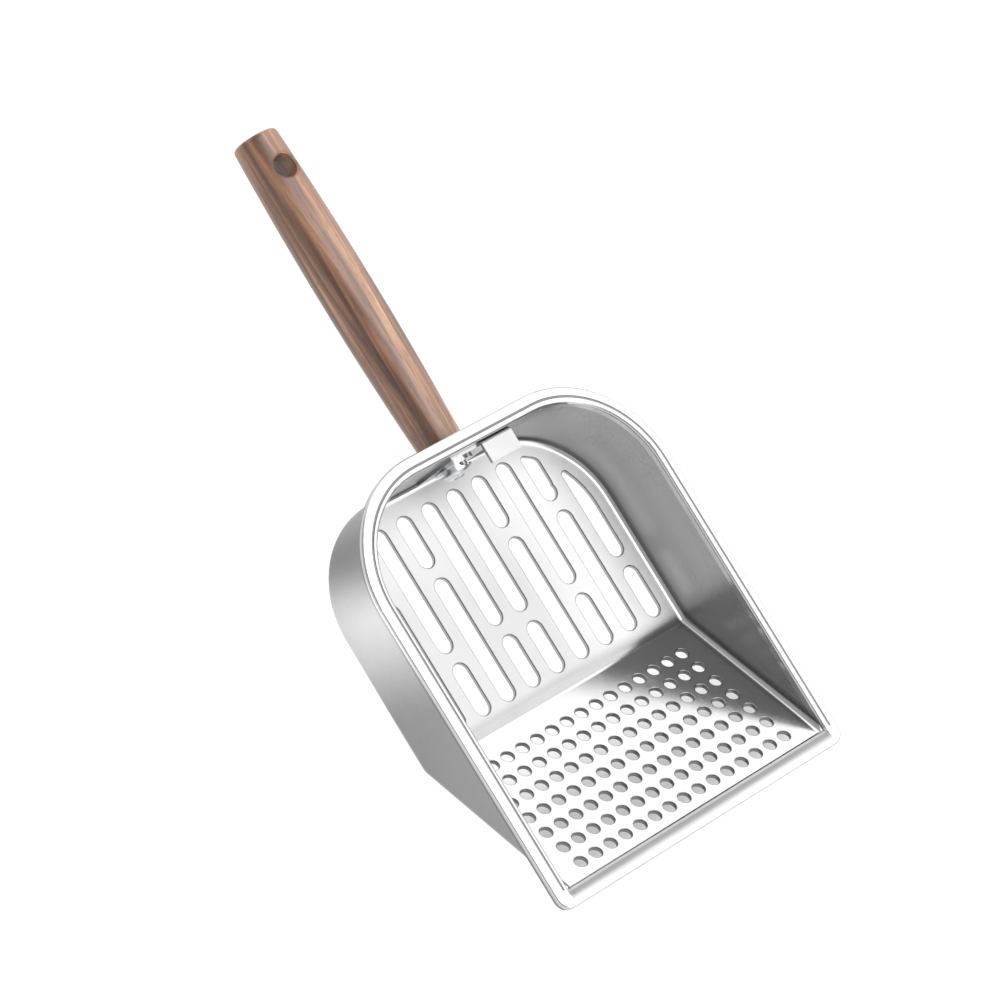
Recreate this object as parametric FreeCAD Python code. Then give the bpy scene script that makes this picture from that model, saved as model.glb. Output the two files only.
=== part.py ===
import FreeCAD, Part
import math
import os

# A hand scoop with a sifting floor: a drawn stainless steel pan with a flat slotted floor,
# a punched ramp at its mouth and a rolled rim, on a turned wooden handle that one screw
# holds to the back wall.
#
# Frame: X across the pan, +Y towards the handle, +Z up. The origin is below the middle of
# the whole object, on the surface that the pan's floor rests on.

# ---- driving dimensions (mm) ----
sheet = 1.5                 # steel of the pan
rim_top = 35.9              # top of the rim above the resting surface
crease_y = -75.0            # where the floor turns up into the ramp
pan_half_width = 63.4       # inside of the side walls
back_wall_y = 10.4          # inside of the back wall
corner_radius = 35.5        # inside, at the two back corners
ramp_angle = 29.6           # degrees above the floor
crease_radius = 5.0         # inside of the bend between floor and ramp
foot_radius = 2.5           # inside of the bend between floor and walls

rim_width = 6.2             # from the inside of the walls to the rim's outer edge
rim_skirt = 2.9             # how far the rim's outer edge is turned down
rim_front_y = -138.7
rim_front_corner = 5.0
rim_slope_width = 2.2       # the rim's outer part slopes down this far before its corner
rim_slope_drop = 0.6
rim_edge_radius = 1.0       # outside; the inside of this bend is sharp
groove_out = 2.3            # a pressed groove runs along the rim, this far out from the walls
groove_radius = 0.45
groove_lift = 0.1           # the groove's centre line above the rim
rim_bend_radius = 1.6       # where the walls bend out into the rim
lip_radius = 4.3            # where the ramp bends over into the rim
lip_start_angle = 58.0      # slope at which the lip starts, degrees
run_out_angle = 6.0         # slope at which rounded edges meet the flat rim, degrees

slot_width = 6.6
slot_pitch = 12.0
slot_columns = 10
slots_front_y = crease_y + 6.0
slots_back_y = crease_y + 78.2
short_slot = 19.8
slot_gap = 4.6
slot_tip_radius = 1.4
slot_shoulder_radius = 3.0

hole_radius = 2.25
hole_pitch_x = 7.175
hole_columns = 15
hole_first_row = 11.14      # from the crease, along the ramp
hole_row_pitch = 8.10
hole_rows = 7
pierced_edge_radius = 0.35  # the press leaves the upper edges of holes and slots round

axis_z = 17.8               # screw and handle axis
handle_end_y = 138.7
handle_base_radius = 7.95
handle_belly_radius = 9.6
handle_belly_y = 75.0
handle_tail_radius = 8.3
handle_tail_rounding = 1.8
handle_base_rounding = 0.4
hanging_hole_radius = 4.5
hanging_hole_y = 124.5
hanging_hole_chamfer = 0.7

bracket_sheet = 1.2
bracket_left = -9.0
bracket_right = 18.0
bracket_bottom = 5.0
bracket_top = 32.4
bracket_bend = 1.6          # outer radius where the ear is bent
ear_left = 4.0
ear_reach = 8.4             # from the wall to the ear's free edge
ear_notch = 1.9             # how far the leg's top stays below the ear
bracket_corner = 3.0        # radius of the bracket's two lower corners

screw_radius = 2.5          # M5
screw_length = 22.0         # under the head
thread_pitch = 0.8
thread_depth = 0.45
head_radius = 5.75          # truss head
head_height = 2.6
head_edge = 0.7
head_shoulder_drop = 0.55   # the crown's fall at its shoulder, and how far out that is
head_shoulder_radius = 3.91
head_recess_width = 1.1
head_recess_length = 5.4
head_recess_depth = 1.5
clearance_radius = 2.75     # screw hole through steel
flat_washer_radius = 7.5
flat_washer_height = 1.2
flat_washer_edge = 0.25
spring_washer_radius = 4.6
spring_washer_height = 1.2
spring_washer_split = 1.0
spring_washer_slant = 20.0  # degrees
insert_radius = 4.5
insert_core_radius = 3.7
insert_length = 15.0
insert_thread_pitch = 2.5
insert_bore = 2.55
insert_recess = 0.4         # below the handle's end, so that the wood seats first
pilot_gap = 0.02
screw_relief = 5.0          # how far the screw's way runs on past the insert

# ---- values worked out from them ----
floor_z = sheet
slope = math.radians(ramp_angle)
tall = 120.0                # height of blocks before they are trimmed
far_front = -200.0          # where blocks end ahead of the pan, before they are trimmed
block_front = far_front + 10.0
block_top = tall - 10.0
wide = 90.0
past = 1.0                  # how far a cutter runs past the face that it goes through
reach = 2.0 * past          # the same at both faces, added to a cutter's length
tiny = 0.01                 # tolerance when edges are picked by their place
merge = 0.2                 # how far the screw's shank starts inside its head
back_outer_y = back_wall_y + sheet
washer_face_y = back_wall_y - bracket_sheet
corner_x = pan_half_width - corner_radius
corner_y = back_wall_y - corner_radius
lip_rise = lip_radius * (math.cos(math.radians(run_out_angle)) - math.cos(math.radians(lip_start_angle)))
ramp_end_z = rim_top - lip_rise
ramp_end_y = crease_y - (ramp_end_z - floor_z) / math.tan(slope)
slot_field_radius = (slot_columns - 1) / 2.0 * slot_pitch + slot_width / 2.0 - corner_x


def vec(x, y, z):
    return FreeCAD.Vector(x, y, z)


def save(shape, node):
    """Write one node's solids as STEP."""
    shape.exportStep("parts/" + node + ".step")
    print(node, "solids", len(shape.Solids), "valid", shape.isValid(), "volume", round(shape.Volume, 1))


def closed_face(edges):
    return Part.Face(Part.Wire(edges))


def polygon_face(points):
    return Part.Face(Part.makePolygon(points + [points[0]]))


# ---- outlines seen from above ----
def u_outline(outset, front_y, z):
    """The pan's plan shape, grown by outset: straight sides, round back corners, square front."""
    half = pan_half_width + outset
    back = back_wall_y + outset
    radius = corner_radius + outset
    turn = radius * (1.0 - math.sqrt(0.5))
    right_start = vec(half, corner_y, z)
    right_middle = vec(half - turn, back - turn, z)
    right_end = vec(corner_x, back, z)
    left_start = vec(-corner_x, back, z)
    left_middle = vec(turn - half, back - turn, z)
    left_end = vec(-half, corner_y, z)
    edges = [Part.LineSegment(vec(half, front_y, z), right_start).toShape()]
    edges.append(Part.Arc(right_start, right_middle, right_end).toShape())
    edges.append(Part.LineSegment(right_end, left_start).toShape())
    edges.append(Part.Arc(left_start, left_middle, left_end).toShape())
    edges.append(Part.LineSegment(left_end, vec(-half, front_y, z)).toShape())
    edges.append(Part.LineSegment(vec(-half, front_y, z), vec(half, front_y, z)).toShape())
    return closed_face(edges)


def rim_block(inset, low_z, high_z):
    """A prism of the rim's outline: the pan's plan shape with rounded front corners too."""
    face = u_outline(rim_width - inset, rim_front_y + inset, low_z)
    block = face.extrude(vec(0, 0, high_z - low_z))
    front = [e for e in block.Edges if is_upright(e) and e.BoundBox.YMax < rim_front_y + inset + tiny]
    return block.makeFillet(rim_front_corner - inset, front)


def is_upright(edge):
    box = edge.BoundBox
    return box.ZLength > tiny and box.XLength < tiny and box.YLength < tiny


def loop_at(block, z):
    """The edges of a block that lie level at height z."""
    return [e for e in block.Edges if abs(e.BoundBox.ZMin - z) < tiny and abs(e.BoundBox.ZMax - z) < tiny]


# ---- floor and ramp seen from the side ----
def ramp_point(along, outset):
    """A point of the ramp: along it from the crease, and outset below its upper face."""
    y = crease_y - along * math.cos(slope) - outset * math.sin(slope)
    z = floor_z + along * math.sin(slope) - outset * math.cos(slope)
    return y, z


def above_the_sheet(outset):
    """Everything above the floor and the ramp, whose faces are moved down by outset."""
    tangent = crease_radius * math.tan(slope / 2.0)
    radius = crease_radius + outset
    centre_y = crease_y + tangent
    centre_z = floor_z + crease_radius
    x = -wide
    bend_start = vec(x, centre_y, centre_z - radius)
    half_turn = slope / 2.0
    bend_middle = vec(x, centre_y - radius * math.sin(half_turn), centre_z - radius * math.cos(half_turn))
    bend_end = vec(x, centre_y - radius * math.sin(slope), centre_z - radius * math.cos(slope))
    ramp_y, ramp_z = ramp_point((crease_y - far_front) / math.cos(slope), outset)
    points = [bend_end, vec(x, ramp_y, ramp_z), vec(x, ramp_y, tall), vec(x, wide, tall)]
    points.append(vec(x, wide, floor_z - outset))
    points.append(bend_start)
    edges = [Part.LineSegment(a, b).toShape() for a, b in zip(points, points[1:])]
    edges.append(Part.Arc(bend_start, bend_middle, bend_end).toShape())
    return closed_face(edges).extrude(vec(2.0 * wide, 0, 0))


def foot_edges(block, outset):
    """The edges where the walls meet the floor and the ramp."""
    found = []
    for edge in block.Edges:
        middle = edge.valueAt((edge.FirstParameter + edge.LastParameter) / 2.0)
        crosses_the_floor = abs(middle.x) < tiny and middle.y < back_wall_y + outset - tiny
        at_the_front = edge.BoundBox.YMax < block_front + tiny
        at_the_top = edge.BoundBox.ZMax > block_top - tiny
        if not (is_upright(edge) or crosses_the_floor or at_the_front or at_the_top):
            found.append(edge)
    return found


def pan_block(outset):
    """The pan's inside, or its outside when outset is the sheet, with its foot rounded."""
    walls = u_outline(outset, block_front, -block_top).extrude(vec(0, 0, 2.0 * block_top))
    block = walls.common(above_the_sheet(outset)).removeSplitter()
    return block.makeFillet(foot_radius + outset, foot_edges(block, outset))


# ---- the rim and the lip ----
def lip_limit():
    """Everything behind the lip, which rounds the ramp's end over into the rim."""
    start = math.radians(lip_start_angle)
    start_y = ramp_end_y
    start_z = ramp_end_z
    centre_y = start_y - lip_radius * math.sin(start)
    centre_z = start_z - lip_radius * math.cos(start)
    middle = start / 2.0
    x = -wide
    lip_start = vec(x, start_y, start_z)
    lip_middle = vec(x, centre_y + lip_radius * math.sin(middle), centre_z + lip_radius * math.cos(middle))
    lip_end = vec(x, centre_y, centre_z + lip_radius)
    points = [lip_end, vec(x, centre_y, tall), vec(x, wide, tall), vec(x, wide, -wide)]
    points.append(vec(x, start_y, -wide))
    points.append(lip_start)
    edges = [Part.LineSegment(a, b).toShape() for a, b in zip(points, points[1:])]
    edges.append(Part.Arc(lip_start, lip_middle, lip_end).toShape())
    return closed_face(edges).extrude(vec(2.0 * wide, 0, 0))


def follow_the_wall(section, front_y):
    """Run a section along both sides, both round corners and the back.

    section is given a function that turns (out from the walls, up from the rim's top) into a point.
    """
    pieces = []
    for side in (1.0, -1.0):
        face = section(lambda out, up: vec(side * (pan_half_width + out), corner_y, rim_top + up))
        pieces.append(face.extrude(vec(0, front_y - corner_y, 0)))
        pieces.append(face.revolve(vec(side * corner_x, corner_y, 0), vec(0, 0, side), 90))
    face = section(lambda out, up: vec(-corner_x, back_wall_y + out, rim_top + up))
    pieces.append(face.extrude(vec(2.0 * corner_x, 0, 0)))
    return pieces[0].multiFuse(pieces[1:])


def rim_bend_section(place):
    """The section cut away where a wall bends out into the rim."""
    centre = rim_bend_radius * math.cos(math.radians(run_out_angle))
    across = rim_bend_radius * math.sqrt(0.5)
    low = place(centre - rim_bend_radius, -centre)
    middle = place(centre - across, across - centre)
    high = place(centre, rim_bend_radius - centre)
    points = [high, place(centre, past), place(-past, past), place(-past, -centre), low]
    edges = [Part.LineSegment(a, b).toShape() for a, b in zip(points, points[1:])]
    edges.append(Part.Arc(low, middle, high).toShape())
    return closed_face(edges)


def groove_section(place):
    """The section of the groove pressed into the rim."""
    near = place(groove_out - groove_radius, groove_lift)
    bottom = place(groove_out, groove_lift - groove_radius)
    far = place(groove_out + groove_radius, groove_lift)
    return closed_face([Part.Arc(near, bottom, far).toShape(), Part.LineSegment(far, near).toShape()])


def rim():
    """The rim: flat by the walls, then sloping down to an edge that is turned down all the way round."""
    low = rim_top - rim_skirt
    outside = rim_block(0.0, low, rim_top)
    outside = outside.makeChamfer(rim_slope_drop, rim_slope_width, loop_at(outside, rim_top))
    outside = outside.makeFillet(rim_edge_radius, loop_at(outside, rim_top - rim_slope_drop))
    outside = outside.cut(rim_block(sheet, low - past, rim_top - sheet))
    return outside.cut(follow_the_wall(groove_section, ramp_end_y))


# ---- openings ----
def straight_slot(x, front_y, back_y):
    """A slot with round ends, as a cutter through the floor."""
    radius = slot_width / 2.0
    low = -past
    height = sheet + reach
    straight = back_y - front_y - slot_width
    bar = Part.makeBox(slot_width, straight, height, vec(x - radius, front_y + radius, low))
    front = Part.makeCylinder(radius, height, vec(x, front_y + radius, low))
    back = Part.makeCylinder(radius, height, vec(x, back_y - radius, low))
    return bar.multiFuse([front, back]).removeSplitter()


def corner_slot(x, front_y):
    """A slot whose back end follows the round corner of the slot field."""
    radius = slot_width / 2.0
    low = -past
    height = sheet + reach
    bar = Part.makeBox(slot_width, slots_back_y - front_y, height, vec(x - radius, front_y + radius, low))
    side = math.copysign(1.0, x)
    field = Part.makeCylinder(slot_field_radius, height, vec(side * corner_x, corner_y, low))
    ahead = Part.makeBox(wide, wide, height, vec(min(0.0, side * wide), corner_y - wide, low))
    bar = bar.common(field.fuse(ahead)).removeSplitter()
    back_edges = [e for e in bar.Edges if is_upright(e) and e.BoundBox.YMin > front_y + slot_width]
    back_edges.sort(key=lambda e: abs(e.BoundBox.Center.x))
    bar = bar.makeFillet(slot_tip_radius, [back_edges[0]])
    outer_x = abs(x) + radius
    shoulder = [e for e in bar.Edges if is_upright(e) and abs(abs(e.BoundBox.Center.x) - outer_x) < tiny]
    shoulder = [e for e in shoulder if e.BoundBox.YMin > corner_y + tiny]
    if shoulder:
        bar = bar.makeFillet(slot_shoulder_radius, shoulder)
    return bar.fuse(Part.makeCylinder(radius, height, vec(x, front_y + radius, low))).removeSplitter()


def slot_cutters():
    """Two slots in each column, a short one and a long one, which trade places."""
    cutters = []
    for column in range(slot_columns):
        from_edge = min(column, slot_columns - 1 - column)
        x = (column - (slot_columns - 1) / 2.0) * slot_pitch
        short_in_front = from_edge in (0, 2, 4)
        if short_in_front:
            split = slots_front_y + short_slot
        else:
            split = slots_back_y - short_slot - slot_gap
        cutters.append(straight_slot(x, slots_front_y, split))
        if from_edge < 2:
            cutters.append(corner_slot(x, split + slot_gap))
        else:
            cutters.append(straight_slot(x, split + slot_gap, slots_back_y))
    return cutters


def hole_cutters():
    """The ramp's punched holes, square to the ramp."""
    cutters = []
    down = vec(0, -math.sin(slope), -math.cos(slope))
    for row in range(hole_rows):
        y, z = ramp_point(hole_first_row + row * hole_row_pitch, -past)
        for column in range(hole_columns):
            x = (column - (hole_columns - 1) / 2.0) * hole_pitch_x
            cutters.append(Part.makeCylinder(hole_radius, sheet + reach, vec(x, y, z), down))
    return cutters


def pierced_edges(pan):
    """The edges of the slots and the holes on the upper faces of the floor and the ramp."""
    found = []
    half_field = (slot_columns / 2.0) * slot_pitch
    for edge in pan.Edges:
        box = edge.BoundBox
        on_floor = abs(box.ZMin - floor_z) < tiny and abs(box.ZMax - floor_z) < tiny
        in_field = box.YMin > slots_front_y - tiny and box.YMax < slots_back_y + tiny
        if on_floor and in_field and max(abs(box.XMin), abs(box.XMax)) < half_field:
            found.append(edge)
        elif is_hole_edge(edge):
            found.append(edge)
    return found


def is_hole_edge(edge):
    """Whether an edge is a hole's full circle on the upper face of the ramp."""
    curve = edge.Curve
    if not isinstance(curve, Part.Circle) or abs(curve.Radius - hole_radius) > tiny:
        return False
    along = (crease_y - curve.Center.y) / math.cos(slope)
    _, z = ramp_point(along, 0.0)
    return abs(curve.Center.z - z) < tiny


def scoop_pan():
    """One drawn sheet: floor, ramp, walls and rim."""
    below_rim = Part.makeBox(2.0 * wide, wide - far_front, rim_top - sheet / 2.0, vec(-wide, far_front, 0))
    outside = pan_block(sheet).common(below_rim)
    inside = pan_block(0.0).fuse(follow_the_wall(rim_bend_section, rim_front_y)).common(lip_limit())
    pan = outside.fuse(rim()).cut(inside)
    pan = pan.cut(Part.makeCompound(slot_cutters() + [screw_way(back_wall_y, sheet)]))
    pan = pan.cut(Part.makeCompound(hole_cutters())).removeSplitter()
    return pan.makeFillet(pierced_edge_radius, pierced_edges(pan))


# ---- fixing of the handle ----
def screw_way(face_y, thickness):
    """A cutter for the screw's clearance hole through a sheet or washer that starts at face_y."""
    return Part.makeCylinder(clearance_radius, thickness + reach, vec(0, face_y - past, axis_z), vec(0, 1, 0))


def handle_bracket():
    """A stiffening plate on the back wall, with one ear bent forward below the rim."""
    leg_top = bracket_top - ear_notch
    leg = Part.makeBox(bracket_right - bracket_left, bracket_sheet, leg_top - bracket_bottom,
                       vec(bracket_left, washer_face_y, bracket_bottom))
    upright = Part.makeBox(bracket_right - ear_left, bracket_sheet, bracket_top - bracket_bottom,
                           vec(ear_left, washer_face_y, bracket_bottom))
    ear = Part.makeBox(bracket_right - ear_left, ear_reach, bracket_sheet,
                       vec(ear_left, back_wall_y - ear_reach, bracket_top - bracket_sheet))
    ear = ear.fuse(upright).removeSplitter()
    at_the_top = [e for e in ear.Edges if e.BoundBox.ZMin > bracket_top - tiny]
    bend = [e for e in at_the_top if e.BoundBox.YMin > back_wall_y - tiny]
    ear = ear.makeFillet(bracket_bend, bend)
    plate = leg.fuse(ear).removeSplitter()
    foot = [e for e in plate.Edges if e.BoundBox.ZMax < bracket_bottom + tiny and e.BoundBox.YLength > tiny]
    return plate.makeFillet(bracket_corner, foot).cut(screw_way(washer_face_y, bracket_sheet))


def flat_washer():
    face_y = washer_face_y - flat_washer_height
    disc = Part.makeCylinder(flat_washer_radius, flat_washer_height, vec(0, face_y, axis_z), vec(0, 1, 0))
    disc = disc.makeFillet(flat_washer_edge, [e for e in disc.Edges if e.BoundBox.YMax < face_y + tiny])
    return disc.cut(screw_way(face_y, flat_washer_height))


def spring_washer():
    face_y = washer_face_y - flat_washer_height - spring_washer_height
    ring = Part.makeCylinder(spring_washer_radius, spring_washer_height, vec(0, face_y, axis_z), vec(0, 1, 0))
    corner = vec(-spring_washer_split / 2.0, face_y - past, axis_z)
    depth = spring_washer_height + reach
    split = Part.makeBox(spring_washer_split, depth, 2.0 * spring_washer_radius, corner)
    split.rotate(vec(0, face_y, axis_z), vec(0, 0, 1), spring_washer_slant)
    return ring.cut(screw_way(face_y, spring_washer_height)).cut(split)


def threaded_rod(radius, core, pitch, start_y, length):
    """A round bar along +Y with a V groove at every pitch, standing in for its thread."""
    points = [vec(0, start_y, axis_z), vec(0, start_y, axis_z + core)]
    turns = int(length / pitch)
    for turn in range(turns):
        crest = start_y + (turn + 0.5) * pitch
        points.append(vec(0, crest, axis_z + radius))
        points.append(vec(0, crest + pitch / 2.0, axis_z + core))
    points.append(vec(0, start_y + length, axis_z + core))
    points.append(vec(0, start_y + length, axis_z))
    return polygon_face(points).revolve(vec(0, 0, axis_z), vec(0, 1, 0), 360)


def handle_screw():
    """A truss head screw with a cross recess, from inside the pan into the handle."""
    seat_y = washer_face_y - flat_washer_height - spring_washer_height
    face_y = seat_y - head_height
    crown = vec(0, face_y, axis_z)
    edge_top = vec(0, seat_y - head_edge, axis_z + head_radius)
    shoulder = vec(0, face_y + head_shoulder_drop, axis_z + head_shoulder_radius)
    edges = [Part.Arc(crown, shoulder, edge_top).toShape()]
    seat_edge = vec(0, seat_y, axis_z + head_radius)
    seat_centre = vec(0, seat_y, axis_z)
    edges.append(Part.LineSegment(edge_top, seat_edge).toShape())
    edges.append(Part.LineSegment(seat_edge, seat_centre).toShape())
    edges.append(Part.LineSegment(seat_centre, crown).toShape())
    head = closed_face(edges).revolve(vec(0, 0, axis_z), vec(0, 1, 0), 360)
    grip = bracket_sheet + sheet + flat_washer_height + spring_washer_height
    shank = Part.makeCylinder(screw_radius, grip, vec(0, seat_y - merge, axis_z), vec(0, 1, 0))
    thread_start = seat_y - merge + grip
    thread_length = seat_y + screw_length - thread_start
    core = screw_radius - thread_depth
    thread = threaded_rod(screw_radius, core, thread_pitch, thread_start, thread_length)
    screw = head.multiFuse([shank, thread])
    for width, length in ((head_recess_width, head_recess_length), (head_recess_length, head_recess_width)):
        corner = vec(-width / 2.0, face_y - past, axis_z - length / 2.0)
        screw = screw.cut(Part.makeBox(width, head_recess_depth + past, length, corner))
    return screw


def threaded_insert():
    """A brass insert with a coarse wood thread outside and a bore for the screw."""
    start_y = back_outer_y + insert_recess
    insert = threaded_rod(insert_radius, insert_core_radius, insert_thread_pitch, start_y, insert_length)
    bore = Part.makeCylinder(insert_bore, insert_length + reach, vec(0, start_y - past, axis_z), vec(0, 1, 0))
    return insert.cut(bore)


def wood_handle():
    """A turned handle: one long arc swells it from the wall to its belly and back."""
    base = vec(0, back_outer_y, axis_z + handle_base_radius)
    belly = vec(0, handle_belly_y, axis_z + handle_belly_radius)
    tail = vec(0, handle_end_y, axis_z + handle_tail_radius)
    base_centre = vec(0, back_outer_y, axis_z)
    tail_centre = vec(0, handle_end_y, axis_z)
    edges = [Part.Arc(base, belly, tail).toShape()]
    edges.append(Part.LineSegment(tail, tail_centre).toShape())
    edges.append(Part.LineSegment(tail_centre, base_centre).toShape())
    edges.append(Part.LineSegment(base_centre, base).toShape())
    handle = closed_face(edges).revolve(vec(0, 0, axis_z), vec(0, 1, 0), 360)
    rounds = [e for e in handle.Edges if e.BoundBox.XLength > tiny]
    tail_edge = [e for e in rounds if e.BoundBox.YMin > handle_end_y - tiny]
    handle = handle.makeFillet(handle_tail_rounding, tail_edge)
    rounds = [e for e in handle.Edges if e.BoundBox.XLength > tiny]
    base_edge = [e for e in rounds if e.BoundBox.YMax < back_outer_y + tiny]
    handle = handle.makeFillet(handle_base_rounding, base_edge)
    socket_length = insert_recess + insert_length + pilot_gap
    socket = Part.makeCylinder(insert_radius + pilot_gap, socket_length + past,
                               vec(0, back_outer_y - past, axis_z), vec(0, 1, 0))
    relief_length = socket_length + screw_relief
    relief = Part.makeCylinder(clearance_radius, relief_length, vec(0, back_outer_y, axis_z), vec(0, 1, 0))
    hanging_length = 2.0 * handle_belly_radius + reach
    hanging = Part.makeCylinder(hanging_hole_radius, hanging_length,
                                vec(0, hanging_hole_y, axis_z - hanging_length / 2.0))
    handle = handle.cut(socket.fuse(relief)).cut(hanging)
    return ease_hanging_hole(handle)


def ease_hanging_hole(handle):
    """Break the sharp edge at both mouths of the hanging hole."""
    mouths = []
    for edge in handle.Edges:
        box = edge.BoundBox
        behind = box.YMin > hanging_hole_y - hanging_hole_radius - pilot_gap
        ahead = box.YMax < hanging_hole_y + hanging_hole_radius + pilot_gap
        if box.XLength > hanging_hole_radius and behind and ahead:
            mouths.append(edge)
    return handle.makeChamfer(hanging_hole_chamfer, mouths)


os.makedirs("parts", exist_ok=True)
save(scoop_pan(), "scoop_pan")
save(handle_bracket(), "handle_bracket")
save(flat_washer(), "flat_washer")
save(spring_washer(), "spring_washer")
save(handle_screw(), "handle_screw")
save(threaded_insert(), "threaded_insert")
save(wood_handle(), "wood_handle")
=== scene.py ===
import math
import bpy
from mathutils import Matrix, Vector


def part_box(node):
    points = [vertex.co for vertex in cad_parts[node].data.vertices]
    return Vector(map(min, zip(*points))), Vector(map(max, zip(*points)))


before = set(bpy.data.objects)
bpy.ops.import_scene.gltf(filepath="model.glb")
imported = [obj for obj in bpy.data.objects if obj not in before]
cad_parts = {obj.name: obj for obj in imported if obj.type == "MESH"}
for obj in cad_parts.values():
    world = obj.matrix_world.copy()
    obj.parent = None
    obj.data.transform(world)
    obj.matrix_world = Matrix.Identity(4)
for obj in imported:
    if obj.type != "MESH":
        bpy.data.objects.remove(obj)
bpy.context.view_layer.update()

# ---------------------------------------------------------------------------
# The pan: one sheet of stainless steel, drawn in a press, then pierced and
# trimmed, and polished bright. Faint lines run along the floor and up the
# back wall, over soft smears.
# ---------------------------------------------------------------------------
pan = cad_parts["scoop_pan"]


class NodeKit:
    """Short ways to add, join and reckon with the nodes of one material or world."""

    def __init__(self, tree):
        self.tree = tree

    def add(self, kind, **settings):
        node = self.tree.nodes.new(kind)
        for key, value in settings.items():
            if key in node.inputs:
                node.inputs[key].default_value = value
            else:
                setattr(node, key, value)
        return node

    def join(self, source, target):
        self.tree.links.new(source, target)

    def feed(self, value, target):
        """Join a socket to the target, or set a plain number on it."""
        if isinstance(value, (int, float)):
            target.default_value = value
        else:
            self.join(value, target)

    def graded(self, source, start, end, low=0.0, high=1.0):
        """source turned smoothly into low at start and high at end."""
        grade = self.add("ShaderNodeMapRange", interpolation_type="SMOOTHSTEP")
        self.join(source, grade.inputs["Value"])
        grade.inputs["From Min"].default_value = start
        grade.inputs["From Max"].default_value = end
        grade.inputs["To Min"].default_value = low
        grade.inputs["To Max"].default_value = high
        return grade.outputs["Result"]

    def reckon(self, operation, first, second=0.0):
        """One sum on two values, each a socket or a number."""
        step = self.add("ShaderNodeMath", operation=operation)
        self.feed(first, step.inputs[0])
        self.feed(second, step.inputs[1])
        return step.outputs[0]

    def plus(self, first, second):
        return self.reckon("ADD", first, second)

    def minus(self, first, second):
        return self.reckon("SUBTRACT", first, second)

    def times(self, first, second):
        return self.reckon("MULTIPLY", first, second)

    def under(self, value, limit):
        return self.reckon("LESS_THAN", value, limit)

    def over(self, value, limit):
        return self.reckon("GREATER_THAN", value, limit)

    def unsigned(self, value):
        return self.reckon("ABSOLUTE", value)

    def stretch(self, source, scale):
        """The same place, stretched or squeezed along each axis."""
        mapping = self.add("ShaderNodeMapping")
        mapping.inputs["Scale"].default_value = scale
        self.join(source, mapping.inputs["Vector"])
        return mapping.outputs["Vector"]

    def along(self, source, direction):
        """How far source reaches along a direction, a socket or three numbers."""
        dot = self.add("ShaderNodeVectorMath", operation="DOT_PRODUCT")
        self.join(source, dot.inputs[0])
        if isinstance(direction, tuple):
            dot.inputs[1].default_value = direction
        else:
            self.join(direction, dot.inputs[1])
        return dot.outputs["Value"]

    def blend(self, share, first, second):
        """first where share is 0, second where it is 1."""
        mix = self.add("ShaderNodeMix", data_type="FLOAT")
        self.feed(share, mix.inputs[0])
        self.feed(first, mix.inputs[2])
        self.feed(second, mix.inputs[3])
        return mix.outputs[0]

    def all_of(self, *shares):
        """Where every one of these holds."""
        total = shares[0]
        for share in shares[1:]:
            total = self.times(total, share)
        return total


def new_finish(name):
    """A fresh material with its shader and a kit for its nodes."""
    finish = bpy.data.materials.new(name)
    finish.use_nodes = True
    return finish, finish.node_tree.nodes["Principled BSDF"], NodeKit(finish.node_tree)


sheet = 0.0015
crease_y = -0.075               # where the floor turns up into the ramp
ramp_slope = math.radians(29.6)
ramp_up = (0.0, math.sin(ramp_slope), math.cos(ramp_slope))
pan_half_width = 0.0634         # inside of the side walls
back_wall_y = 0.0104            # inside of the back wall
corner_radius = 0.0355
slot_field_half = 0.0595        # no slot or hole reaches further out than this
rim_skirt = 0.0029              # how far the rim's outer edge is turned down
lip_depth = 0.0060              # from the rim's front edge back to the start of the lip
rim_line_out = 0.0023             # from the inside of the walls to the painted dark line on the rim's top
edge_reach = 0.0006             # how far the painted dark line round a hole or slot spreads
hair = 0.00001                  # less than anything that shows
pan_low, pan_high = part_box("scoop_pan")
rim_top = pan_high.z
skirt_bottom = rim_top - rim_skirt
lip_start_y = pan_low.y + lip_depth
ramp_front_y = lip_start_y + 0.001      # the painted dark lines on the ramp stop here, short of the lip


class PanSpot:
    """Where a point lies on the pan, and which way its face looks."""

    def __init__(self, kit, place, facing):
        spot = kit.add("ShaderNodeSeparateXYZ")
        kit.join(place, spot.inputs["Vector"])
        self.place_x = spot.outputs["X"]
        self.x = kit.unsigned(self.place_x)
        self.y = spot.outputs["Y"]
        self.z = spot.outputs["Z"]
        self.facing = facing
        # Height above the upper face of the floor or the ramp, and how level with it the face is.
        self.on_ramp = kit.under(self.y, crease_y)
        above_floor = kit.minus(self.z, sheet)
        above_ramp = kit.minus(kit.along(place, ramp_up), crease_y * ramp_up[1] + sheet * ramp_up[2])
        self.height = kit.blend(self.on_ramp, above_floor, above_ramp)
        self.off_plane = kit.unsigned(self.height)
        floor_level = kit.along(facing, (0, 0, 1))
        self.level = kit.blend(self.on_ramp, floor_level, kit.along(facing, ramp_up))
        self.flat = kit.graded(self.level, 0.93, 0.99)
        # How far outside the inner faces of the walls, round the back corners too.
        past_side = kit.reckon("MAXIMUM", kit.minus(self.x, pan_half_width - corner_radius))
        past_back = kit.reckon("MAXIMUM", kit.minus(self.y, back_wall_y - corner_radius))
        squares = kit.plus(kit.times(past_side, past_side), kit.times(past_back, past_back))
        self.out = kit.minus(kit.reckon("SQRT", squares), corner_radius)
        self.inside = kit.under(self.out, sheet / 2.0)
        self.outside = kit.minus(1.0, self.inside)


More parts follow.
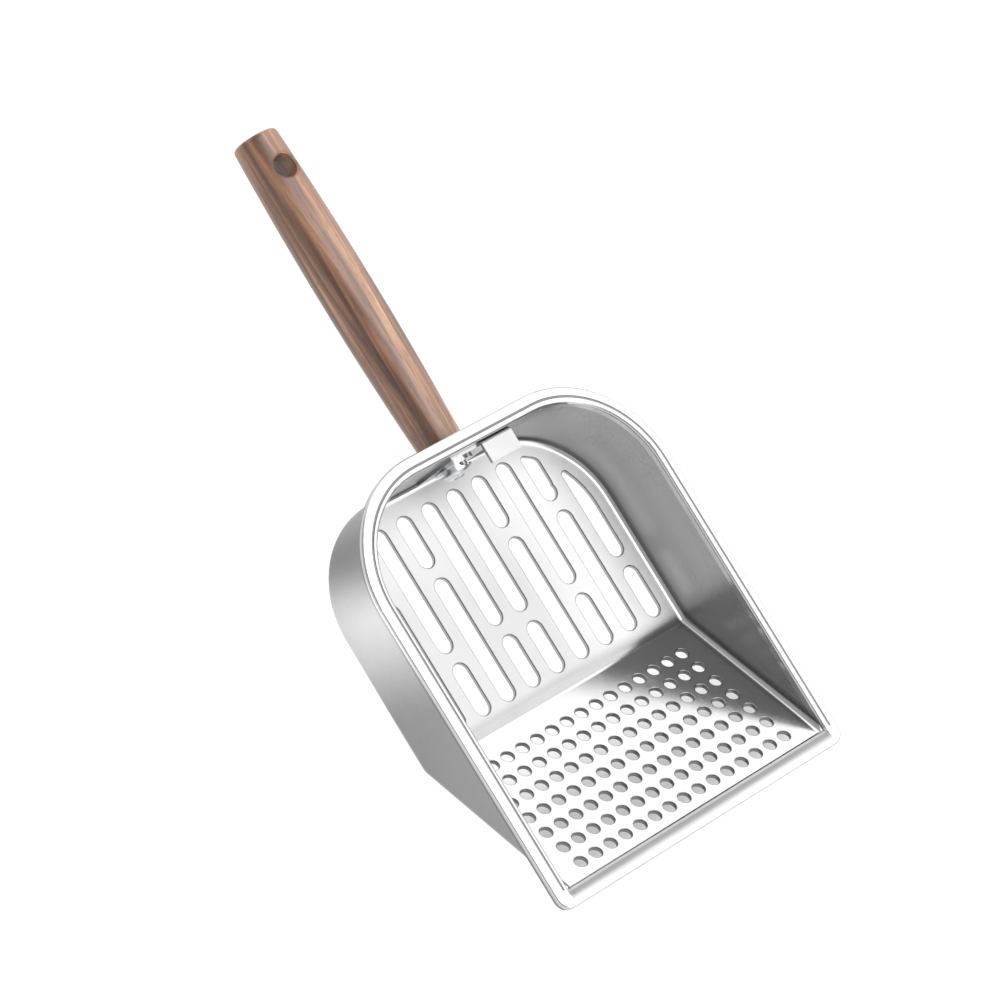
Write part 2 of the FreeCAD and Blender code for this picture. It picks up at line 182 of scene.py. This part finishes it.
def pierced_painted_shade(kit, spot):
    """Slots and holes: painted shade on the upper edges and hole walls, painted light on the slot walls,
    and a painted dark line round each.
    """
    # Tones of painted shade and light on the cut edges and walls of the slots and holes.
    painted_upper_edge_shade = 0.30
    painted_slot_wall_light = 1.15
    painted_hole_wall_shade = 0.46
    painted_line_shade = 0.42
    in_sheet = kit.all_of(kit.under(spot.height, -hair), kit.over(spot.height, hair - sheet),
                          kit.under(spot.level, 0.96), kit.over(spot.level, -0.3),
                          kit.under(spot.x, slot_field_half), kit.under(spot.z, skirt_bottom))
    round_edge = kit.graded(spot.height, -0.00042, -0.00030)
    painted_cut_wall_tone = kit.blend(spot.on_ramp, painted_slot_wall_light, painted_hole_wall_shade)
    tone = kit.blend(in_sheet, 1.0, kit.blend(round_edge, painted_cut_wall_tone, painted_upper_edge_shade))
    eased = kit.add("ShaderNodeBevel", samples=6)
    eased.inputs["Radius"].default_value = edge_reach
    near_edge = kit.graded(kit.along(eased.outputs["Normal"], spot.facing), 0.9998, 0.975)
    # The painted dark line runs round each slot and hole where the Bevel node finds an edge.
    line = kit.all_of(spot.inside, near_edge, spot.flat, kit.graded(spot.off_plane, 0.0003, 0.0001),
                      kit.under(spot.x, slot_field_half), kit.over(spot.y, ramp_front_y))
    return kit.times(tone, kit.blend(line, 1.0, painted_line_shade))


def foot_painted_shade(kit, spot):
    """A painted shade line along the bends at the foot of the walls, darkest at the back."""
    painted_side_shade = 0.40
    painted_back_shade = 0.10
    # Where the shade line is painted along the foot of the walls.
    foot = kit.all_of(spot.inside, kit.over(spot.height, 5 * hair), kit.graded(spot.level, 0.80, 0.35),
                      kit.graded(spot.height, 0.0050, 0.0012), kit.over(spot.y, ramp_front_y))
    dark = kit.graded(spot.y, back_wall_y - 0.012, back_wall_y - 0.003, painted_side_shade, painted_back_shade)
    return kit.blend(foot, 1.0, dark)


def satin_floor(kit, spot):
    """Where the slotted floor is satin."""
    flat_floor = kit.all_of(spot.inside, spot.flat, kit.graded(spot.off_plane, 0.0004, 0.0001))
    return kit.times(flat_floor, kit.graded(spot.y, crease_y + 0.001, crease_y + 0.004))


def satin_painted_light(kit, spot, satin):
    """Painted light: the satin floor is painted lighter to the right and to the back, to offset the walls
    that show in it.
    """
    # Tones of painted light across the satin floor.
    painted_left_light = 0.89
    painted_right_light = 1.32
    painted_back_light = 0.24
    across = kit.graded(spot.place_x, 0.005, 0.045, painted_left_light, painted_right_light)
    lighter = kit.plus(across, kit.graded(spot.y, -0.035, 0.004, 0.0, painted_back_light))
    return kit.blend(satin, 1.0, lighter)


def crease_painted_shade(kit, spot):
    """A band along the crease, painted darker as shade."""
    # The crease band is painted shade.
    painted_band_shade = 0.66
    band = kit.all_of(spot.inside, kit.graded(spot.y, crease_y + 0.0065, crease_y + 0.0015),
                      kit.over(spot.y, crease_y - 0.0002), kit.graded(spot.level, 0.80, 0.95),
                      kit.under(spot.off_plane, 0.0010))
    return kit.blend(band, 1.0, painted_band_shade)


def lip_band(kit, spot):
    """Where the lip is rougher than the ramp and the rim, and painted darker as shade."""
    return kit.all_of(spot.inside, kit.graded(spot.y, lip_start_y - 0.0044, lip_start_y - 0.0017),
                      kit.under(spot.y, lip_start_y + 0.0002), kit.over(spot.z, rim_top - 0.0030))


def lip_painted_shade(kit, spot, band):
    """The band is painted light at its start and painted darkest, as shade, a millimetre on."""
    # Painted light at the lip's start, painted shade beyond it.
    painted_start_light = 1.10
    painted_dull_shade = 0.44
    painted_lip_shade = kit.graded(spot.y, lip_start_y, lip_start_y - 0.0010, painted_start_light, painted_dull_shade)
    return kit.blend(band, 1.0, painted_lip_shade)


def wall_face(kit, spot):
    """The upright faces of the walls, below the rim."""
    upright = kit.graded(kit.unsigned(spot.level), 0.6, 0.25)
    return kit.times(upright, kit.under(spot.z, skirt_bottom - 0.0003))


def wall_painted_shade(kit, spot, walls):
    """Painted shade: the walls are painted darker outside than inside, and darkest round the back corners,
    where they face back.
    """
    # Tones of painted shade on the walls.
    painted_inner_shade = 0.68
    painted_outer_shade = 0.56
    painted_corner_shade = 0.62
    tone = kit.blend(walls, 1.0, kit.blend(spot.outside, painted_inner_shade, painted_outer_shade))
    turned_back = kit.graded(kit.along(spot.facing, (0, 1, 0)), 0.30, 0.75)
    shaded_corner = kit.all_of(spot.outside, walls, turned_back)
    return kit.times(tone, kit.blend(shaded_corner, 1.0, painted_corner_shade))


def rim_painted_shade(kit, spot):
    """Painted shade: a dark line along the rim's trimmed lower edge and another along the rim's top."""
    # Tones of painted shade on the rim.
    painted_skirt_edge_shade = 0.40
    painted_rim_line_shade = 0.35
    trimmed = kit.times(kit.graded(spot.out, 0.0040, 0.0045),
                        kit.graded(spot.z, skirt_bottom + 0.0013, skirt_bottom + 0.0007))
    off_rim_line = kit.unsigned(kit.minus(spot.out, rim_line_out))
    painted_rim_line = kit.all_of(kit.graded(off_rim_line, 0.0006, 0.0004), kit.under(spot.z, rim_top - 2 * hair),
                        kit.over(spot.z, rim_top - 0.0006), kit.over(spot.y, pan_low.y + 0.0035))
    return kit.times(kit.blend(trimmed, 1.0, painted_skirt_edge_shade), kit.blend(painted_rim_line, 1.0, painted_rim_line_shade))


def pan_zones(kit, place, facing):
    """How the pan's parts change the steel's tone with painted light and shade, its roughness and how
    metallic it looks.
    """
    satin_rough = 0.40
    wall_rough = 0.12
    lip_rough = 0.30
    satin_loss = 0.65           # a fully metallic floor would mirror the walls
    spot = PanSpot(kit, place, facing)
    satin = satin_floor(kit, spot)
    band = lip_band(kit, spot)
    walls = wall_face(kit, spot)
    tone = kit.all_of(pierced_painted_shade(kit, spot), foot_painted_shade(kit, spot), satin_painted_light(kit, spot, satin),
                      crease_painted_shade(kit, spot), lip_painted_shade(kit, spot, band),
                      wall_painted_shade(kit, spot, walls), rim_painted_shade(kit, spot))
    duller = kit.plus(kit.times(satin, satin_rough), kit.times(walls, wall_rough))
    duller = kit.plus(duller, kit.times(band, lip_rough))
    return tone, duller, kit.minus(1.0, kit.times(satin, satin_loss))


def steel_finish(name, tone, gloss, wave, zones=None):
    """Polished sheet: fine lines, soft smears and a slight waviness."""
    close = 1400.0              # how close the lines lie
    run = 14.0                  # the same along the lines, so they are drawn out
    smear_drop = 0.94
    finish, shader, kit = new_finish(name)
    place = kit.add("ShaderNodeTexCoord").outputs["Object"]
    facing = kit.add("ShaderNodeNewGeometry").outputs["Normal"]
    faces_back = kit.over(kit.unsigned(kit.along(facing, (0, 1, 0))), 0.75)
    rolled = kit.add("ShaderNodeMix", data_type="VECTOR")
    kit.join(faces_back, rolled.inputs["Factor"])
    kit.join(kit.stretch(place, (close, run, close)), rolled.inputs[4])
    kit.join(kit.stretch(place, (close, close, run)), rolled.inputs[5])
    lines = kit.add("ShaderNodeTexNoise", Scale=1.0, Detail=3.0, Roughness=0.6)
    kit.join(rolled.outputs[1], lines.inputs["Vector"])
    smears = kit.add("ShaderNodeTexNoise", Scale=42.0, Detail=4.0, Roughness=0.55, Distortion=0.6)
    kit.join(place, smears.inputs["Vector"])
    waves = kit.add("ShaderNodeTexNoise", Scale=26.0, Detail=1.0)
    kit.join(kit.stretch(place, (1.0, 0.45, 1.0)), waves.inputs["Vector"])

    shade = kit.graded(smears.outputs["Fac"], 0.3, 0.7, tone * smear_drop, tone)
    rough = kit.plus(kit.graded(lines.outputs["Fac"], 0.2, 0.8, gloss * 0.85, gloss * 1.2),
                     kit.graded(smears.outputs["Fac"], 0.45, 0.75, 0.0, gloss * 0.4))
    shader.inputs["Metallic"].default_value = 1.0
    if zones:
        # The zones paint light and shade into the steel's tone.
        zone_painted_tone, duller, bare = zones(kit, place, facing)
        shade = kit.times(shade, zone_painted_tone)
        rough = kit.plus(rough, duller)
        kit.join(bare, shader.inputs["Metallic"])
    colour = kit.add("ShaderNodeCombineColor")
    for channel in ("Red", "Green", "Blue"):
        kit.join(shade, colour.inputs[channel])
    kit.join(colour.outputs["Color"], shader.inputs["Base Color"])
    kit.join(rough, shader.inputs["Roughness"])

    line_bump = kit.add("ShaderNodeBump", Strength=0.12, Distance=0.00002)
    kit.join(lines.outputs["Fac"], line_bump.inputs["Height"])
    wave_bump = kit.add("ShaderNodeBump", Strength=1.0, Distance=wave)
    kit.join(waves.outputs["Fac"], wave_bump.inputs["Height"])
    kit.join(line_bump.outputs["Normal"], wave_bump.inputs["Normal"])
    kit.join(wave_bump.outputs["Normal"], shader.inputs["Normal"])
    return finish


def refinish(node, finish):
    """Give a CAD piece its finish."""
    node.data.materials.clear()
    node.data.materials.append(finish)


refinish(pan, steel_finish("polished_pan_steel", 0.52, 0.16, 0.0003, pan_zones))

# ---------------------------------------------------------------------------
# The bracket: a cut and bent piece of thinner steel sheet against the inside
# of the back wall, where it spreads the handle's pull. It is most likely
# welded on. Its ear is bent forward below the rim.
# ---------------------------------------------------------------------------
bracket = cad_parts["handle_bracket"]
refinish(bracket, steel_finish("polished_bracket_steel", 0.42, 0.20, 0.0001))

# ---------------------------------------------------------------------------
# Screw and washers: bright zinc plate over steel, on the bracket's face. The
# plate is a little bluish and shows faint turning marks.
# ---------------------------------------------------------------------------


def ramp_of(kit, source, stops):
    """A colour ramp over source, with stops of (place, colour)."""
    ramp = kit.add("ShaderNodeValToRGB")
    kit.join(source, ramp.inputs["Fac"])
    while len(ramp.color_ramp.elements) < len(stops):
        ramp.color_ramp.elements.new(0.5)
    for element, (place, colour) in zip(ramp.color_ramp.elements, stops):
        element.position = place
        element.color = (*colour, 1.0)
    return ramp.outputs["Color"]


def even_range(kit, source, low, high):
    """source turned evenly into low at 0 and high at 1."""
    spread = kit.add("ShaderNodeMapRange")
    kit.join(source, spread.inputs["Value"])
    spread.inputs["To Min"].default_value = low
    spread.inputs["To Max"].default_value = high
    return spread.outputs["Result"]


def plated_finish(name, colour, gloss):
    """Plated or turned metal: rings round the screw's axis and a faint mottle."""
    mottle_drop = 0.88
    finish, shader, kit = new_finish(name)
    place = kit.add("ShaderNodeTexCoord").outputs["Object"]
    low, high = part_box("handle_screw")
    centred = kit.add("ShaderNodeMapping")
    centred.inputs["Location"].default_value = (0.0, 0.0, -(low.z + high.z) / 2.0)
    kit.join(place, centred.inputs["Vector"])
    flat = kit.add("ShaderNodeVectorMath", operation="MULTIPLY")
    kit.join(centred.outputs["Vector"], flat.inputs[0])
    flat.inputs[1].default_value = (1.0, 0.0, 1.0)
    distance = kit.add("ShaderNodeVectorMath", operation="LENGTH")
    kit.join(flat.outputs["Vector"], distance.inputs[0])
    rings = kit.add("ShaderNodeTexNoise", noise_dimensions="1D", Scale=5200.0, Detail=2.0)
    kit.join(distance.outputs["Value"], rings.inputs["W"])
    mottle = kit.add("ShaderNodeTexNoise", Scale=600.0, Detail=3.0)
    kit.join(place, mottle.inputs["Vector"])
    dark = tuple(c * mottle_drop for c in colour)
    kit.join(ramp_of(kit, mottle.outputs["Fac"], [(0.35, dark), (0.65, colour)]),
             shader.inputs["Base Color"])
    shader.inputs["Metallic"].default_value = 1.0
    kit.join(even_range(kit, mottle.outputs["Fac"], gloss * 0.8, gloss * 1.3), shader.inputs["Roughness"])
    bump = kit.add("ShaderNodeBump", Strength=0.25, Distance=0.00003)
    kit.join(rings.outputs["Fac"], bump.inputs["Height"])
    kit.join(bump.outputs["Normal"], shader.inputs["Normal"])
    return finish


zinc = plated_finish("bright_zinc_plate", (0.70, 0.71, 0.74), 0.22)
for name in ("handle_screw", "flat_washer", "spring_washer"):
    refinish(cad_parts[name], zinc)

# ---------------------------------------------------------------------------
# The insert: turned brass, set into the end of the handle to give the screw
# a metal thread. It is out of sight once the handle is on.
# ---------------------------------------------------------------------------
refinish(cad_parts["threaded_insert"], plated_finish("turned_brass", (0.78, 0.58, 0.27), 0.3))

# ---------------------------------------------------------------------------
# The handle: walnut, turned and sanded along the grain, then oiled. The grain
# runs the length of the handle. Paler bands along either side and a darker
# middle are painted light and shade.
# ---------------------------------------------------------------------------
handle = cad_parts["wood_handle"]
handle_low, handle_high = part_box("wood_handle")


def grey(value):
    return (value, value, value)


def painted_side_light(kit, place):
    """Painted light and shade across the handle: paler bands along both sides, a darker middle, and a dark
    band past the first pale band.
    """
    across_x, across_z = 0.79, 0.61     # the way from one band over the axis to the other
    painted_middle_shade, painted_lit_shift, painted_far_shift, painted_dark_shift = -0.05, 0.14, 0.08, -0.16
    across = kit.along(place, (across_x, 0.0, across_z))
    axis = across_z * (handle_low.z + handle_high.z) / 2.0
    painted_lit_side = kit.graded(across, axis + 0.0018, axis + 0.0068, painted_middle_shade, painted_lit_shift)
    painted_far_side = kit.graded(across, axis - 0.0020, axis - 0.0075, 0.0, painted_far_shift)
    painted_dark_band = kit.graded(across, axis + 0.0068, axis + 0.0092, 0.0, painted_dark_shift)
    return kit.plus(kit.plus(painted_lit_side, painted_far_side), painted_dark_band)


def walnut_finish():
    """Oiled walnut: broad grain, fine fibres and short open pores, all along the handle."""
    pore_colour = (0.045, 0.022, 0.014, 1.0)
    pore_heart, pore_edge = 0.08, 0.22
    finish, shader, kit = new_finish("oiled_walnut")
    place = kit.add("ShaderNodeTexCoord").outputs["Object"]
    stretched = kit.add("ShaderNodeMapping")
    stretched.inputs["Scale"].default_value = (1.0, 0.045, 1.0)
    stretched.inputs["Rotation"].default_value = (0.02, 0.0, 0.05)
    kit.join(place, stretched.inputs["Vector"])
    broad = kit.add("ShaderNodeTexNoise", Scale=230.0, Detail=3.0, Roughness=0.55, Distortion=0.9)
    kit.join(stretched.outputs["Vector"], broad.inputs["Vector"])
    # The side bands add painted light and shade to the grain's colour.
    colour = ramp_of(kit, kit.plus(broad.outputs["Fac"], painted_side_light(kit, place)), [
        (0.30, (0.056, 0.020, 0.009)),
        (0.43, (0.135, 0.054, 0.026)),
        (0.56, (0.250, 0.118, 0.062)),
        (0.70, (0.440, 0.258, 0.150)),
        (0.85, (0.560, 0.360, 0.225)),
    ])
    fibres = kit.add("ShaderNodeTexNoise", Scale=1900.0, Detail=4.0, Roughness=0.65)
    kit.join(kit.stretch(place, (1.0, 0.03, 1.0)), fibres.inputs["Vector"])
    fibre_tone = ramp_of(kit, fibres.outputs["Fac"], [(0.3, grey(0.72)), (0.7, grey(1.0))])
    grained = kit.add("ShaderNodeMix", data_type="RGBA", blend_type="MULTIPLY")
    grained.inputs["Factor"].default_value = 1.0
    kit.join(colour, grained.inputs["A"])
    kit.join(fibre_tone, grained.inputs["B"])
    pores = kit.add("ShaderNodeTexVoronoi", Scale=1500.0)
    kit.join(kit.stretch(place, (1.0, 0.09, 1.0)), pores.inputs["Vector"])
    pore_mask = kit.add("ShaderNodeMapRange")
    kit.join(pores.outputs["Distance"], pore_mask.inputs["Value"])
    pore_mask.inputs["From Min"].default_value = pore_heart
    pore_mask.inputs["From Max"].default_value = pore_edge
    with_pores = kit.add("ShaderNodeMix", data_type="RGBA", blend_type="MIX")
    kit.join(pore_mask.outputs["Result"], with_pores.inputs["Factor"])
    with_pores.inputs["A"].default_value = pore_colour
    kit.join(grained.outputs["Result"], with_pores.inputs["B"])
    kit.join(with_pores.outputs["Result"], shader.inputs["Base Color"])
    kit.join(even_range(kit, fibres.outputs["Fac"], 0.34, 0.46), shader.inputs["Roughness"])
    shader.inputs["Specular IOR Level"].default_value = 0.55
    shader.inputs["Coat Weight"].default_value = 0.4
    shader.inputs["Coat Roughness"].default_value = 0.28
    fibre_bump = kit.add("ShaderNodeBump", Strength=0.35, Distance=0.00005)
    kit.join(fibres.outputs["Fac"], fibre_bump.inputs["Height"])
    pore_bump = kit.add("ShaderNodeBump", Strength=0.6, Distance=0.00008)
    kit.join(pore_mask.outputs["Result"], pore_bump.inputs["Height"])
    kit.join(fibre_bump.outputs["Normal"], pore_bump.inputs["Normal"])
    kit.join(pore_bump.outputs["Normal"], shader.inputs["Normal"])
    return finish


refinish(handle, walnut_finish())

# ---------------------------------------------------------------------------
# The studio: a plain white table, lit from below, with a painted pool of light
# beside the left wall and a painted shadow below the ramp, inside a light tent
# that is bright on the right and above and dim on the left, so that steel reads as steel.
# ---------------------------------------------------------------------------
floor_half = 4.0
floor_drop = 0.0002             # the table lies just below the pan's underside
floor_mesh = bpy.data.meshes.new("studio_floor")
floor_corners = [(-floor_half, -floor_half, 0.0), (floor_half, -floor_half, 0.0),
                 (floor_half, floor_half, 0.0), (-floor_half, floor_half, 0.0)]
floor_mesh.from_pydata([Vector(c) - Vector((0, 0, floor_drop)) for c in floor_corners], [], [(0, 1, 2, 3)])
floor = bpy.data.objects.new("studio_floor", floor_mesh)
bpy.context.scene.collection.objects.link(floor)


def painted_table_glow(kit):
    """How brightly the table glows: a painted pool of light beside the left wall, a painted shadow below
    the ramp.
    """
    # The pool is painted light and the patch below the ramp is painted shadow.
    table_light, painted_pool_light, painted_shadow_share = 0.90, 2.7, 0.42
    pool_reach = 0.038
    pool_squeeze = 0.7          # the pool is drawn out along X
    pool_x, pool_y = -0.085, -0.022
    place = kit.add("ShaderNodeTexCoord").outputs["Object"]
    from_pool = kit.add("ShaderNodeVectorMath", operation="DISTANCE")
    kit.join(kit.stretch(place, (pool_squeeze, 1.0, 1.0)), from_pool.inputs[0])
    from_pool.inputs[1].default_value = (pool_x * pool_squeeze, pool_y, 0.0)
    glow = kit.graded(from_pool.outputs["Value"], pool_reach, 0.0, table_light, painted_pool_light)
    spot = kit.add("ShaderNodeSeparateXYZ")
    kit.join(place, spot.inputs["Vector"])
    painted_shadow = kit.all_of(kit.graded(spot.outputs["X"], -0.044, -0.034),
                        kit.graded(spot.outputs["X"], 0.088, 0.078),
                        kit.graded(spot.outputs["Y"], crease_y - 0.006, crease_y - 0.040),
                        kit.graded(spot.outputs["Y"], pan_low.y + 0.002, pan_low.y + 0.012))
    return kit.times(glow, kit.blend(painted_shadow, 1.0, painted_shadow_share))


paper, paper_shader, paper_kit = new_finish("white_paper")
paper_shader.inputs["Base Color"].default_value = (0.16, 0.16, 0.16, 1.0)
paper_shader.inputs["Roughness"].default_value = 0.9
paper_shader.inputs["Emission Color"].default_value = (1.0, 1.0, 1.0, 1.0)
paper_kit.join(painted_table_glow(paper_kit), paper_shader.inputs["Emission Strength"])
floor_mesh.materials.append(paper)


def tent_light(kit):
    """The light that comes from each heading."""
    bright_side, bright_horizon = 2.2, 1.0
    dim_side, dim_horizon = 0.62, 1.4
    overhead_lamp = 2.6
    heading = kit.add("ShaderNodeSeparateXYZ")
    kit.join(kit.add("ShaderNodeTexCoord").outputs["Generated"], heading.inputs["Vector"])
    to_right = kit.graded(heading.outputs["X"], -0.25, 0.12)
    right_light = kit.graded(heading.outputs["Z"], 0.10, 0.36, bright_horizon, bright_side)
    low_front = kit.times(kit.graded(heading.outputs["Z"], 0.45, 0.25),
                          kit.graded(heading.outputs["Y"], 0.50, 0.10))
    left_light = kit.graded(low_front, 0.0, 1.0, dim_side, dim_horizon)
    both = kit.plus(kit.times(to_right, right_light), kit.times(kit.minus(1.0, to_right), left_light))
    return kit.plus(both, kit.graded(heading.outputs["Z"], 0.87, 0.95, 0.0, overhead_lamp))


tent = bpy.data.worlds.new("light_tent")
bpy.context.scene.world = tent
tent.use_nodes = True
tent_kit = NodeKit(tent.node_tree)
backdrop = tent.node_tree.nodes["Background"]
tent_kit.join(tent_light(tent_kit), backdrop.inputs["Strength"])
backdrop.inputs["Color"].default_value = (1.0, 1.0, 1.0, 1.0)

# ---------------------------------------------------------------------------
# The camera: high on the left, looking down across the pan, turned so that
# the handle points to the upper left.
# ---------------------------------------------------------------------------
camera_data = bpy.data.cameras.new("camera")
camera = bpy.data.objects.new("camera", camera_data)
bpy.context.scene.collection.objects.link(camera)
bpy.context.scene.camera = camera
camera_place = Vector((-1.02096, -0.11667, 1.35663))
look_heading = math.radians(84.04)      # from +Y towards +X
look_down = math.radians(52.27)
roll = math.radians(53.82)
camera_data.sensor_width = 36.0
camera_data.lens = 180.32
camera_data.clip_start = 0.05
camera_data.clip_end = 50.0
look = Vector((math.sin(look_heading) * math.cos(look_down),
               math.cos(look_heading) * math.cos(look_down), -math.sin(look_down)))
level_right = look.cross(Vector((0, 0, 1))).normalized()
level_up = level_right.cross(look)
right = level_right * math.cos(roll) + level_up * math.sin(roll)
up = right.cross(look)
camera.matrix_world = Matrix.Translation(camera_place) @ Matrix((right, up, -look)).transposed().to_4x4()

bpy.context.scene.view_settings.view_transform = "Standard"
